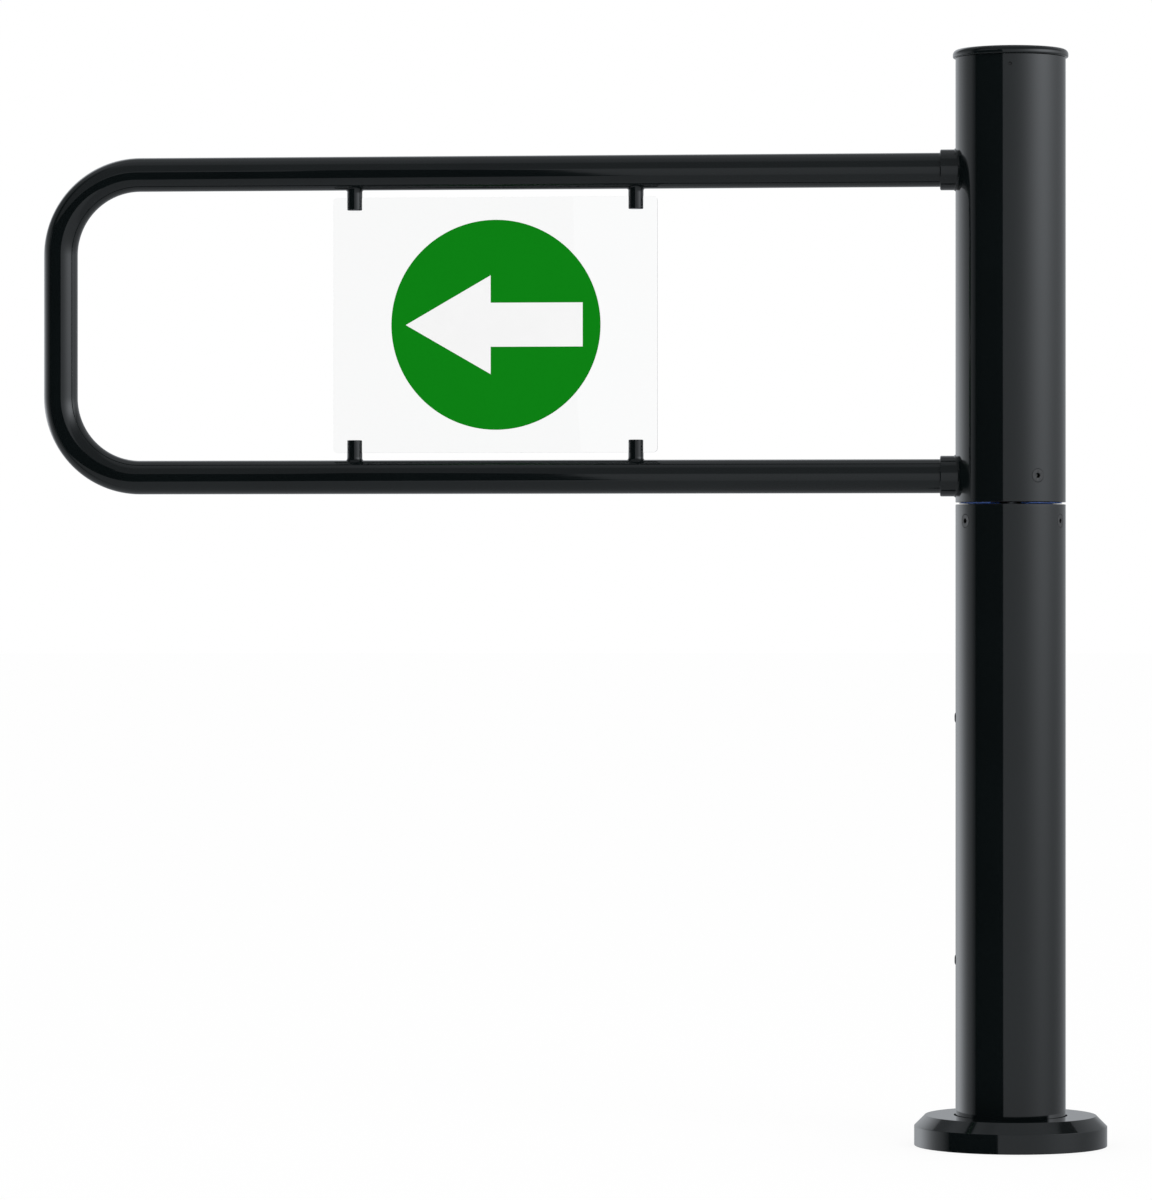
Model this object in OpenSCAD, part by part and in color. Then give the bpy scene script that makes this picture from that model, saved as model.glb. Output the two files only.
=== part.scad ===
// Swing gate turnstile: a fixed lower post on a floor flange, a turning upper post, and a bent tube leaf
// that carries an arrow sign. The origin is on the floor, on the post's axis. The closed leaf reaches
// along -X, the front faces -Y and +Z is up. Every size is in millimetres and every angle in degrees.

/* [Post] */
// Outside diameter of both post tubes
post_d = 101.6; // [92:0.1:112]
// Wall of both post tubes
post_wall = 3; // [2:0.1:4]
// Height of the fixed tube's top edge above the floor
lower_post_top = 592; // [480:1:650]
// Gap between the fixed tube and the turning tube
seam_gap = 2; // [1.5:0.1:3]
// Length of the turning tube
gate_post_h = 410.5; // [380:0.5:560]

/* [Cap] */
// How far the cap's rim stands out past the tube
cap_overhang = 2.5; // [1:0.1:4]
// Height of the cap above the tube
cap_h = 7.5; // [6:0.1:12]
// Rounding of the cap's upper edge
cap_round = 4.5; // [1:0.1:4.5]
// Rounding of the cap's lower edge
cap_lower_round = 1.5; // [0.5:0.1:1.5]
// Depth of the cap's skirt inside the tube
cap_skirt_h = 22; // [16:1:40]
// Wall of the cap's skirt
cap_skirt_wall = 4; // [3:0.1:8]
// Diameter of the cap's grub screw
cap_screw_d = 3; // [2.5:0.1:5]
// Length of the cap's grub screw
cap_screw_l = 6; // [5:0.5:8]
// Depth of the grub screw's centre below the tube's top edge
cap_screw_drop = 9.5; // [6:0.5:14]

/* [Floor flange] */
// Thickness of the floor flange
flange_t = 10; // [6:0.5:14]
// Pitch circle of the anchor holes
anchor_pcd = 140; // [136:1:146]
// Diameter of an anchor hole
anchor_hole_d = 13; // [9:0.5:14]
// Number of anchor holes
anchor_count = 4; // [3:1:6]
// Turn of the first anchor hole from the front
anchor_turn = 45; // [0:5:90]

/* [Flange cover] */
// Outside diameter of the cover
cover_d = 178; // [172:1:200]
// Height of the cover
cover_h = 28; // [24:0.5:40]
// Chamfer of the cover's upper edge
cover_chamfer = 10; // [4:0.5:12]
// Sheet thickness of the cover
cover_wall = 2; // [1.5:0.1:3]
// Gap between the cover's collar and the post
cover_gap = 1.5; // [0.5:0.1:3]

/* [Pivot] */
// Height of the bearing housing inside the fixed tube
housing_h = 34; // [28:1:60]
// Height of the rotor hub inside the turning tube
hub_h = 46; // [40:1:70]
// Diameter of the hub's foot and the thrust washer in the seam
hub_foot_d = 78; // [60:1:84]
// Height of the hub's foot
hub_foot_h = 4; // [2:0.5:8]
// Diameter of the pivot shaft
shaft_d = 25; // [18:1:30]
// Wall of the hub's bearing bush
bush_wall = 3; // [2:0.5:5]
// Inside diameter of the thrust washer
washer_bore_d = 52; // [40:1:54]
// Opening angle of the thrust washer's split, which faces the front
washer_split = 60; // [10:1:120]
// Diameter of the nut that holds the hub down
nut_d = 44; // [40:1:50]
// Height of that nut
nut_h = 12; // [8:1:20]

/* [Post screws] */
// Diameter of a countersunk screw's shank
screw_d = 6; // [5:0.1:8]
// Diameter of a countersunk screw's head
screw_head_d = 12.4; // [11:0.1:15]
// Length of a countersunk screw
screw_l = 14; // [10:1:18]
// Depth of the screw heads below the tube's surface
screw_sink = 0.5; // [0.4:0.1:0.8]
// Width across the hexagon socket of a countersunk screw
screw_hex = 4; // [2.5:0.1:5]
// Depth of the housing screws below the fixed tube's top edge
housing_screw_drop = 15.4; // [12:0.1:18]
// Turn of the first housing screw from the front, towards +X
housing_screw_turn = 65; // [30:1:90]
// Height of the hub screws above the turning tube's lower edge
hub_screw_rise = 24; // [16:0.5:30]
// Turn of the first hub screw from the front, towards +X
hub_screw_turn = 30; // [0:1:60]
// Height of the lower side screw above the floor
side_screw_low_z = 171; // [100:1:250]
// Height of the upper side screw above the floor
side_screw_high_z = 395; // [300:1:430]
// Diameter of a side screw's head
side_screw_head_d = 9.5; // [8:0.1:12]
// Height of a side screw's head
side_screw_head_h = 1.4; // [1:0.1:2]
// Diameter of a side screw's shank
side_screw_d = 5; // [4:0.1:6]
// Length of a side screw below its head
side_screw_l = 8; // [5:0.5:20]

/* [Leaf] */
// Outside diameter of the leaf's tube
leaf_d = 31.6; // [25:0.1:36]
// Wall of the leaf's tube
leaf_wall = 1.5; // [1.2:0.1:3]
// Distance from the post's axis to the leaf's end tube
leaf_reach = 887.8; // [780:0.1:1000]
// Distance between the leaf's two rails
rail_spacing = 283.3; // [270:0.1:310]
// Height of the leaf's middle above the turning tube's lower edge
leaf_rise = 166; // [160:0.5:200]
// Radius of the leaf's bends, along the tube's middle
bend_r = 75; // [45:1:100]
// Outside diameter of the sockets on the post
socket_d = 37.7; // [35:0.1:42]
// How far the sockets stand out from the post
socket_l = 14.2; // [10:0.1:40]
// Gap between the leaf's tube ends and the post
rail_end_gap = 1; // [0.5:0.1:4]

/* [Sign] */
// Width of the sign panel
panel_w = 303.4; // [285:0.1:400]
// Height of the sign panel
panel_h = 238; // [220:0.5:250]
// Thickness of the sign panel
panel_t = 4; // [3:0.5:9]
// Rounding of the sign panel's corners
panel_corner = 4; // [3:0.5:10]
// Chamfer around the sign panel's edges
panel_edge = 0.5; // [0.2:0.1:1.4]
// Distance from the post's axis to the panel's middle
sign_x = 478.8; // [400:0.1:560]
// Diameter of the round sign
disc_d = 195.5; // [150:0.5:215]
// Shift of the round sign from the panel's middle, towards the post
disc_shift = 0.8; // [-4:0.1:4]
// Thickness of the sign films
film_t = 0.3; // [0.2:0.05:0.6]
// Length of the arrow
arrow_l = 165.5; // [120:0.5:180]
// Length of the arrow's head
arrow_head_l = 79.5; // [50:0.5:95]
// Height of the arrow's head
arrow_head_h = 92; // [60:0.5:120]
// Height of the arrow's shaft
arrow_shaft_h = 41; // [20:0.5:60]
// Shift of the arrow from the round sign's middle, towards its tip
arrow_shift = 1.4; // [-4:0.1:4]
// Diameter of a panel pin
pin_d = 14.2; // [12:0.1:18]
// Distance from the panel's side edge to the middle of a pin
pin_inset = 20.1; // [12:0.1:50]
// Depth that a pin reaches over the panel's edge
pin_grip = 11.7; // [6:0.1:16]

/* [Clearances] */
// Gap left between parts that fit into each other
fit_gap = 0.1; // [0.05:0.01:0.2]
// Gap left between curved faces that are joined
weld_gap = 0.05; // [0.02:0.01:0.1]
// Radial running gap of the bush on the shaft
running_gap = 0.05; // [0.02:0.01:0.1]
// Gap between faces that slide on each other
slide_gap = 0.3; // [0.2:0.05:0.5]

/* [Hidden] */
$fn = 96;

post_r = post_d / 2;
tube_bore_r = post_r - post_wall;
insert_r = tube_bore_r - fit_gap;
gate_post_foot = lower_post_top + seam_gap;
gate_post_top = gate_post_foot + gate_post_h;
cap_rim_r = post_r + cap_overhang;
flange_r = cover_d / 2 - cover_wall - slide_gap;
cover_bore_r = post_r + cover_gap;
chamfer_angle = 45;
shaft_r = shaft_d / 2;
washer_t = seam_gap - slide_gap;
hub_top = gate_post_foot + hub_h;
shaft_foot = lower_post_top - housing_h;
shaft_shoulder = 6;
shaft_top = hub_top + slide_gap + nut_h;
bush_bore_r = shaft_r + running_gap;
bush_r = bush_bore_r + bush_wall;
screws_per_ring = 3;
screw_head_plane = post_r - screw_sink;
leaf_r = leaf_d / 2;
leaf_mid_z = gate_post_foot + leaf_rise;
rail_start_x = post_r + rail_end_gap;
end_straight = rail_spacing - 2 * bend_r;
slot_w = panel_t + 2 * fit_gap;
film_y = panel_t / 2;
pin_tip = panel_h / 2 - pin_grip;
overcut = 1;

module across(turn, z) {
    translate([0, 0, z])
        rotate([0, 0, turn - 90])
            rotate([0, 90, 0])
                children();
}

module ring(outer_r, inner_r, h) {
    difference() {
        cylinder(h = h, r = outer_r);
        translate([0, 0, -overcut])
            cylinder(h = h + 2 * overcut, r = inner_r);
    }
}

module countersunk_body(gap) {
    head_r = screw_head_d / 2 + gap;
    shank_r = screw_d / 2 + gap;
    translate([0, 0, screw_head_plane - screw_l - gap])
        cylinder(h = screw_l, r = shank_r);
    translate([0, 0, screw_head_plane - (head_r - shank_r)])
        cylinder(h = head_r - shank_r, r1 = shank_r, r2 = head_r);
}

module countersunk_hole() {
    countersunk_body(weld_gap);
    translate([0, 0, screw_head_plane - weld_gap])
        cylinder(h = screw_sink + overcut, r = screw_head_d / 2 + weld_gap);
}

module countersunk_screw(turn, z) {
    color("dimgray")
        across(turn, z)
            difference() {
                countersunk_body(0);
                translate([0, 0, screw_head_plane - screw_head_d / 5])
                    cylinder(h = screw_head_d, d = screw_hex / cos(30), $fn = 6);
            }
}

module screw_ring_holes(first_turn, z) {
    for (i = [0 : screws_per_ring - 1])
        across(first_turn + i * 360 / screws_per_ring, z)
            countersunk_hole();
}

module housing_screw(i) {
    countersunk_screw(housing_screw_turn + i * 360 / screws_per_ring, lower_post_top - housing_screw_drop);
}

module hub_screw(i) {
    countersunk_screw(hub_screw_turn + i * 360 / screws_per_ring, gate_post_foot + hub_screw_rise);
}

module floor_flange() {
    color("silver")
        difference() {
            cylinder(h = flange_t, r = flange_r);
            for (i = [0 : anchor_count - 1])
                rotate([0, 0, anchor_turn + i * 360 / anchor_count])
                    translate([anchor_pcd / 2, 0, -overcut])
                        cylinder(h = flange_t + 2 * overcut, d = anchor_hole_d);
        }
}

module cover_outline(inset, foot_z) {
    side_r = cover_d / 2 - inset;
    top_z = cover_h - inset;
    chamfer = cover_chamfer - inset * tan(chamfer_angle / 2);
    polygon([
        [0, foot_z],
        [side_r, foot_z],
        [side_r, top_z - chamfer],
        [side_r - chamfer, top_z],
        [0, top_z]
    ]);
}

module flange_cover() {
    color([0.09, 0.1, 0.1])
        rotate_extrude()
            difference() {
                cover_outline(0, 0);
                cover_outline(cover_wall, -overcut);
                translate([-overcut, -overcut])
                    square([cover_bore_r + overcut, cover_h + 2 * overcut]);
            }
}

module lower_post() {
    color([0.09, 0.1, 0.1])
        difference() {
            translate([0, 0, flange_t])
                ring(post_r, tube_bore_r, lower_post_top - flange_t);
            screw_ring_holes(housing_screw_turn, lower_post_top - housing_screw_drop);
            for (z = [side_screw_low_z, side_screw_high_z])
                across(-90, z)
                    cylinder(h = post_d, d = side_screw_d + 2 * weld_gap);
        }
}

module side_screw(z) {
    color("dimgray")
        across(-90, z)
            difference() {
                union() {
                    translate([0, 0, post_r - side_screw_l])
                        cylinder(h = side_screw_l, d = side_screw_d);
                    difference() {
                        translate([0, 0, post_r - side_screw_head_d / 2])
                            cylinder(h = side_screw_head_d / 2 + side_screw_head_h, d = side_screw_head_d);
                        rotate([0, 90, 0])
                            cylinder(h = 2 * side_screw_head_d, r = post_r + weld_gap, center = true);
                    }
                }
                translate([0, 0, post_r])
                    cylinder(h = 2 * side_screw_head_h, d = side_screw_d / 2 / cos(30), $fn = 6);
            }
}

module bearing_housing() {
    color("gray")
        difference() {
            translate([0, 0, lower_post_top - housing_h])
                ring(insert_r, shaft_r + weld_gap, housing_h);
            screw_ring_holes(housing_screw_turn, lower_post_top - housing_screw_drop);
        }
}

module thrust_washer() {
    color([0.2, 0.25, 0.5])
        translate([0, 0, lower_post_top])
            rotate([0, 0, washer_split / 2 - 90])
                rotate_extrude(angle = 360 - washer_split)
                    translate([washer_bore_d / 2, 0])
                        square([(hub_foot_d - washer_bore_d) / 2, washer_t]);
}

module pivot_shaft() {
    color("lightgray")
        union() {
            translate([0, 0, shaft_foot - shaft_shoulder])
                cylinder(h = shaft_shoulder, r = shaft_r + shaft_shoulder);
            translate([0, 0, shaft_foot - shaft_shoulder])
                cylinder(h = shaft_top - shaft_foot + shaft_shoulder, r = shaft_r);
        }
}

module shaft_nut() {
    color("gray")
        translate([0, 0, hub_top + slide_gap])
            difference() {
                cylinder(h = nut_h, d = nut_d / cos(30), $fn = 6);
                translate([0, 0, -overcut])
                    cylinder(h = nut_h + 2 * overcut, r = shaft_r + weld_gap);
            }
}

module gate_post() {
    color([0.09, 0.1, 0.1])
        difference() {
            translate([0, 0, gate_post_foot])
                ring(post_r, tube_bore_r, gate_post_h);
            screw_ring_holes(hub_screw_turn, gate_post_foot + hub_screw_rise);
            across(0, gate_post_top - cap_screw_drop)
                cylinder(h = post_d, d = cap_screw_d + 2 * weld_gap);
        }
}

module rotor_hub() {
    color("gray")
        difference() {
            union() {
                translate([0, 0, gate_post_foot])
                    cylinder(h = hub_foot_h, d = hub_foot_d);
                translate([0, 0, gate_post_foot + hub_foot_h])
                    cylinder(h = hub_h - hub_foot_h, r = insert_r);
            }
            translate([0, 0, gate_post_foot - overcut])
                cylinder(h = hub_h + 2 * overcut, r = bush_r + weld_gap);
            screw_ring_holes(hub_screw_turn, gate_post_foot + hub_screw_rise);
        }
}

module hub_bush() {
    color("goldenrod")
        translate([0, 0, gate_post_foot])
            ring(bush_r, bush_bore_r, hub_h);
}

module corner_waste(r) {
    translate([-r, -r])
        difference() {
            square(r + overcut);
            circle(r = r);
        }
}

module cap_outline() {
    difference() {
        square([cap_rim_r, cap_h]);
        translate([cap_rim_r, cap_h])
            corner_waste(cap_round);
        translate([cap_rim_r, 0])
            mirror([0, 1])
                corner_waste(cap_lower_round);
    }
    translate([insert_r - cap_skirt_wall, -cap_skirt_h])
        square([cap_skirt_wall, cap_skirt_h + cap_h / 2]);
}

module top_cap() {
    color([0.09, 0.1, 0.1])
        difference() {
            translate([0, 0, gate_post_top])
                rotate_extrude()
                    cap_outline();
            across(0, gate_post_top - cap_screw_drop)
                cylinder(h = post_d, d = cap_screw_d + 2 * weld_gap);
        }
}

module cap_screw() {
    color("dimgray")
        across(0, gate_post_top - cap_screw_drop)
            translate([0, 0, screw_head_plane - cap_screw_l])
                difference() {
                    cylinder(h = cap_screw_l, d = cap_screw_d);
                    translate([0, 0, cap_screw_l - cap_screw_d / 2])
                        cylinder(h = cap_screw_d, d = cap_screw_d / 2 / cos(30), $fn = 6);
                }
}

module leaf_socket(side) {
    color([0.09, 0.1, 0.1])
        difference() {
            translate([0, 0, leaf_mid_z + side * rail_spacing / 2])
                rotate([0, -90, 0])
                    difference() {
                        cylinder(h = post_r + socket_l, d = socket_d);
                        translate([0, 0, -overcut])
                            cylinder(h = post_d, r = leaf_r + fit_gap);
                    }
            translate([0, 0, leaf_mid_z - rail_spacing])
                cylinder(h = 2 * rail_spacing, r = post_r + weld_gap);
        }
}

module leaf_path(r, start_x) {
    for (side = [-1, 1]) {
        translate([-start_x, 0, leaf_mid_z + side * rail_spacing / 2])
            rotate([0, -90, 0])
                cylinder(h = leaf_reach - bend_r - start_x, r = r);
        translate([bend_r - leaf_reach, 0, leaf_mid_z + side * end_straight / 2])
            rotate([90, side > 0 ? 270 : 180, 0])
                rotate_extrude(angle = 90)
                    translate([bend_r, 0])
                        circle(r = r);
    }
    translate([-leaf_reach, 0, leaf_mid_z - end_straight / 2])
        cylinder(h = end_straight, r = r);
}

module leaf_tube() {
    color([0.09, 0.1, 0.1])
        difference() {
            leaf_path(leaf_r, rail_start_x);
            leaf_path(leaf_r - leaf_wall, rail_start_x - overcut);
        }
}

module panel_slab(inset, t) {
    corner_x = panel_w / 2 - panel_corner;
    corner_z = panel_h / 2 - panel_corner;
    for (sx = [-1, 1], sz = [-1, 1])
        translate([sx * corner_x, t / 2, sz * corner_z])
            rotate([90, 0, 0])
                cylinder(h = t, r = panel_corner - inset, $fn = 32);
}

module sign_panel() {
    color([0.97, 0.97, 0.97, 0.5])
        translate([-sign_x, 0, leaf_mid_z])
            hull() {
                panel_slab(panel_edge, panel_t);
                panel_slab(0, panel_t - 2 * panel_edge);
            }
}

module on_panel(side) {
    translate([disc_shift - sign_x, side * film_y, leaf_mid_z])
        rotate([side < 0 ? 90 : -90, 0, 0])
            children();
}

module sign_disc(side) {
    color([0.06, 0.5, 0.08])
        on_panel(side)
            cylinder(h = film_t, d = disc_d);
}

module sign_arrow(side) {
    tip = -arrow_l / 2 - arrow_shift;
    neck = tip + arrow_head_l;
    tail = tip + arrow_l;
    color("white")
        on_panel(side)
            translate([0, 0, film_t])
                linear_extrude(height = film_t)
                    polygon([
                        [tip, 0],
                        [neck, -arrow_head_h / 2],
                        [neck, -arrow_shaft_h / 2],
                        [tail, -arrow_shaft_h / 2],
                        [tail, arrow_shaft_h / 2],
                        [neck, arrow_shaft_h / 2],
                        [neck, arrow_head_h / 2]
                    ]);
}

module panel_pin(side_x, side_z) {
    color([0.09, 0.1, 0.1])
        translate([-sign_x + side_x * (panel_w / 2 - pin_inset), 0, leaf_mid_z])
            mirror([0, 0, side_z < 0 ? 1 : 0])
                difference() {
                    translate([0, 0, pin_tip])
                        cylinder(h = rail_spacing / 2 - pin_tip, d = pin_d);
                    translate([-pin_d, 0, rail_spacing / 2])
                        rotate([0, 90, 0])
                            cylinder(h = 2 * pin_d, r = leaf_r + weld_gap);
                    translate([-pin_d, -slot_w / 2, 0])
                        cube([2 * pin_d, slot_w, panel_h / 2 + slide_gap]);
                }
}

floor_flange();
flange_cover();
lower_post();
side_screw(side_screw_low_z);  // side_screw_low
side_screw(side_screw_high_z);  // side_screw_high
bearing_housing();
housing_screw(0);  // housing_screw_1
housing_screw(1);  // housing_screw_2
housing_screw(2);  // housing_screw_3
thrust_washer();
pivot_shaft();
shaft_nut();
gate_post();
rotor_hub();
hub_bush();
hub_screw(0);  // hub_screw_1
hub_screw(1);  // hub_screw_2
hub_screw(2);  // hub_screw_3
top_cap();
cap_screw();
leaf_socket(1);  // socket_upper
leaf_socket(-1);  // socket_lower
leaf_tube();
sign_panel();
sign_disc(-1);  // sign_disc_front
sign_disc(1);  // sign_disc_back
sign_arrow(-1);  // arrow_front
sign_arrow(1);  // arrow_back
panel_pin(-1, 1);  // panel_pin_1
panel_pin(1, 1);  // panel_pin_2
panel_pin(-1, -1);  // panel_pin_3
panel_pin(1, -1);  // panel_pin_4
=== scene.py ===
"""A swing gate turnstile: two post tubes, a bent tube leaf and its arrow sign, dressed around the frame."""

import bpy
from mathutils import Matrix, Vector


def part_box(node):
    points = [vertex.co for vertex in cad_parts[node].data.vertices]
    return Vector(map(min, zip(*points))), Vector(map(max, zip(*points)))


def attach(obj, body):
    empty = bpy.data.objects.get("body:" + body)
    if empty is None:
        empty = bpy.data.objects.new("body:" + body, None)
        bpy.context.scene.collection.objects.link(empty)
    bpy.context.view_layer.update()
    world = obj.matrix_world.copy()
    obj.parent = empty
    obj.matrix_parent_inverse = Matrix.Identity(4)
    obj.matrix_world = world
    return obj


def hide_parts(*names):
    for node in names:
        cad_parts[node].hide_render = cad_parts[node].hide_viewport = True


bl_info = {
    "name": "Swing gate turnstile",
    "version": (1, 0, 0),
    "blender": (4, 5, 0),
    "location": "3D View > Sidebar > Swing gate",
    "description": "Builds the posts, pivot, leaf and sign of a swing gate, and a studio for them",
    "category": "Object",
}

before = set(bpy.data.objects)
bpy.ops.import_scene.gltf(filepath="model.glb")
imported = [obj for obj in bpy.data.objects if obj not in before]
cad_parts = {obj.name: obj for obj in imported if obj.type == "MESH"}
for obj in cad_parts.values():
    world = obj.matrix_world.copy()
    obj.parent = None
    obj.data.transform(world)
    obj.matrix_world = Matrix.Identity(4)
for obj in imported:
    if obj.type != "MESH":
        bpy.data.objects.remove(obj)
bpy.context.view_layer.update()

import functools
import math

import bmesh
import bpy
from bpy.props import FloatProperty, FloatVectorProperty, IntProperty, PointerProperty
from bpy.types import Operator, Panel, PropertyGroup
from mathutils import Matrix, Vector

MERGE_DISTANCE = 1e-6
FULL_TURN = 2 * math.pi
QUARTER_TURN = math.pi / 2
CREASE_ANGLE = math.radians(28)
HEXAGON_SIDES = 6
SCREWS_IN_A_RING = 3
PINS = 4
POST_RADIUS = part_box("lower_post")[1].x

# Clearances, small roundings and other fine sizes, in metres
SEAT_GAP = 0.00005
EDGE_ROUND = 0.0004
CAP_LOWER_ROUND = 0.0015
FOLD_ROUND = 0.0002
SOCKET_ROUND = 0.0012
PIN_ROUND = 0.0006
PIN_FILLET = 0.0010
PANEL_EDGE = 0.0005
WELD_BEAD = 0.0013
WASHER_RIM = 0.0005
WASHER_RIM_DROP = 0.0002
SCREW_BEVEL = 0.0002
SCREW_LAND = 0.0004
HOLE_FLARE = 0.00015
FLOOR_DROP = 0.0003

# Shares of a screw socket's width: where the head's flat face starts, and how far down the hexagon starts
FACE_START = 0.62
HEXAGON_DROP = 0.06

# Share of a tube's radius at which a sleeve or a pin starts, before its foot is fitted to the tube
ROOT_SHARE = 0.9

# Ripples round a weld, their height as a share of the bead, and how closely a pin's flare follows the tube
WELD_RIPPLES = 46
RIPPLE_SHARE = 0.05
FLARE_FOLLOWS = 0.8


# Sizes and colours that a user would change

def number(name, description, default, **others):
    """A property that holds a number."""
    return FloatProperty(name=name, description=description, default=default, **others)


def length(name, description, default):
    """A property that holds a length in metres."""
    return number(name, description, default, min=0, precision=5, unit="LENGTH")


def share(name, description, default):
    """A property that holds a plain number from nought up."""
    return number(name, description, default, min=0, precision=4)


def angle(name, description, degrees):
    """A property that holds an angle."""
    return number(name, description, math.radians(degrees), subtype="ANGLE")


def count(name, description, default, least):
    """A property that holds a whole number."""
    return IntProperty(name=name, description=description, default=default, min=least)


def colour(name, description, default):
    """A property that holds a linear colour."""
    return FloatVectorProperty(
        name=name, description=description, default=default, size=3, min=0, max=1, subtype="COLOR")


class GateShape(PropertyGroup):
    """The main sizes that the frame's boxes don't give."""

    round_steps: count("Steps round a post", "Facets round the post tubes", 192, 48)
    small_steps: count("Steps round a screw", "Facets round the small parts", 48, 24)
    rail_steps: count("Steps round a rail", "Facets round the leaf's tube", 64, 24)
    post_wall: length("Post wall", "Wall of both post tubes", 0.003)
    cap_round: length("Cap's upper round", "Rounding of the cap's upper edge", 0.0045)
    cap_skirt_wall: length("Cap's skirt", "Wall of the skirt inside the tube", 0.004)
    cover_wall: length("Cover sheet", "Sheet thickness of the flange cover", 0.002)
    cover_chamfer: length("Cover chamfer", "Chamfer of the cover's upper edge", 0.010)
    cover_gap: length("Cover gap", "Gap between the cover and the post", 0.0015)
    anchor_circle: length("Anchor circle", "Pitch circle diameter of the anchor holes", 0.140)
    anchor_hole: length("Anchor hole", "Diameter of an anchor hole", 0.013)
    anchor_count: count("Anchors", "Number of anchor holes", 4, 1)
    shaft_diameter: length("Shaft", "Diameter of the pivot shaft", 0.025)
    bush_wall: length("Bush wall", "Wall of the hub's bush", 0.003)
    washer_bore: length("Washer bore", "Inside diameter of the thrust washer", 0.052)
    washer_split: angle("Washer split", "Opening of the washer's split at the front", 42.6)
    washer_rim_diameter: length("Washer rim", "Diameter of the thin rim round the washer", 0.095)
    hub_foot_diameter: length("Hub foot", "Diameter of the hub's foot", 0.078)
    hub_foot_height: length("Hub foot height", "Height of the hub's foot", 0.004)
    screw_shank: length("Screw shank", "Diameter of a countersunk screw's shank", 0.006)
    screw_head: length("Screw head", "Diameter of a countersunk screw's head", 0.0124)
    screw_length: length("Screw length", "Length of a countersunk screw", 0.014)
    screw_sink: length("Screw sink", "Depth of the screw heads below the tube's surface", 0.0001)
    screw_socket: length("Screw socket", "Width across the hexagon socket", 0.004)
    side_screw_head: length("Side screw head", "Diameter of a side screw's domed head", 0.0090)
    side_screw_shank: length("Side screw shank", "Diameter of a side screw's shank", 0.005)
    side_screw_rise: length("Side screw dome", "Height of a side screw's domed head", 0.0010)
    grub_screw: length("Grub screw", "Diameter of the cap's grub screw", 0.003)
    grub_sink: length("Grub screw sink", "Depth of the grub screw below the tube's surface", 0.0005)
    housing_screw_turn: angle("Housing screw turn", "Turn of the first housing screw, front to +X", 65)
    hub_screw_turn: angle("Hub screw turn", "Turn of the first hub screw, front to +X", 30)
    leaf_wall: length("Leaf wall", "Wall of the leaf's tube", 0.0015)
    bend_radius: length("Bend radius", "Radius of the leaf's bends, along the tube's middle", 0.075)
    bend_steps: count("Bend steps", "Facets along each bend", 32, 6)
    panel_corner: length("Panel corner", "Rounding of the sign panel's corners", 0.004)


class GateFinish(PropertyGroup):
    """Colours and surface detail of the gate's materials."""

    coating: colour("Coating", "Colour of the black coating", (0.0033, 0.0049, 0.0053))
    coating_roughness: share("Coating roughness", "Roughness of the black coating", 0.06)
    coating_ripple: length("Coating ripple", "Depth of the coating's orange peel", 0.0000015)
    coating_grain: length("Coating grain", "Width of one ripple in the coating", 0.0016)
    screw: colour("Screws", "Colour of the blackened screws", (0.0055, 0.0060, 0.0063))
    steel: colour("Steel", "Colour of turned steel", (0.50, 0.51, 0.52))
    bronze: colour("Bronze", "Colour of the bush", (0.42, 0.22, 0.08))
    washer: colour("Washer", "Colour of the thrust washer", (0.15, 0.32, 1.0))
    green: colour("Green film", "Colour of the round sign", (0.0018, 0.2045, 0.0047))
    white: colour("White film", "Colour of the arrow", (0.875, 0.875, 0.875))
    acrylic: colour("Acrylic", "Colour of the clear panel", (0.993, 0.996, 0.995))
    acrylic_bend: share("Acrylic refraction", "Index of refraction of the panel", 1.44)


class GateStudio(PropertyGroup):
    """Camera, floor and soft light."""

    camera_place: FloatVectorProperty(
        name="Camera", description="Place of the camera", default=(0.0345, -5.1359, 0.513), size=3,
        unit="LENGTH")
    camera_turn: angle("Camera turn", "Turn of the camera about the vertical", 4.870)
    camera_lens: number("Lens", "Focal length", 166.21, min=1, unit="CAMERA")
    camera_shift: number("Shift", "Vertical shift", -0.00833, precision=5)
    room_light: share("Room light", "Level of the light that comes from all round", 0.95)
    lamp_power: number("Lamp", "Power of the soft lamp", 22, min=0, unit="POWER")
    floor_radius: length("Floor", "Radius of the floor", 40)
    shadow_share: share("Shadow", "Share of the floor's tone that the object can shade", 0.12)


class SwingGateSettings(PropertyGroup):
    """Everything that the sidebar shows."""

    shape: PointerProperty(type=GateShape)
    finish: PointerProperty(type=GateFinish)
    studio: PointerProperty(type=GateStudio)


# Shader trees

def math_node(operation, swapped=False):
    """A method of Value that adds a Math node. Swapped, the node takes the other number first."""
    def method(value, other):
        first, second = (other, value) if swapped else (value, other)
        return value.shader.node("ShaderNodeMath", {"operation": operation}, {0: first, 1: second})
    return method


class Value:
    """An output socket of a shader tree. Arithmetic on it adds Math nodes."""

    __add__ = math_node("ADD")
    __radd__ = math_node("ADD", swapped=True)
    __sub__ = math_node("SUBTRACT")
    __rsub__ = math_node("SUBTRACT", swapped=True)
    __mul__ = math_node("MULTIPLY")
    __rmul__ = math_node("MULTIPLY", swapped=True)
    __truediv__ = math_node("DIVIDE")
    __rpow__ = math_node("POWER", swapped=True)
    larger = math_node("MAXIMUM")
    turn_from = math_node("ARCTAN2")

    def __init__(self, shader, socket):
        self.shader = shader
        self.socket = socket

    def ramp(self, low, high):
        """Goes smoothly from nought to one as this value goes from low to high."""
        return self.shader.node(
            "ShaderNodeMapRange", {"interpolation_type": "SMOOTHSTEP"},
            {"Value": self, "From Min": low, "From Max": high})


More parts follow.
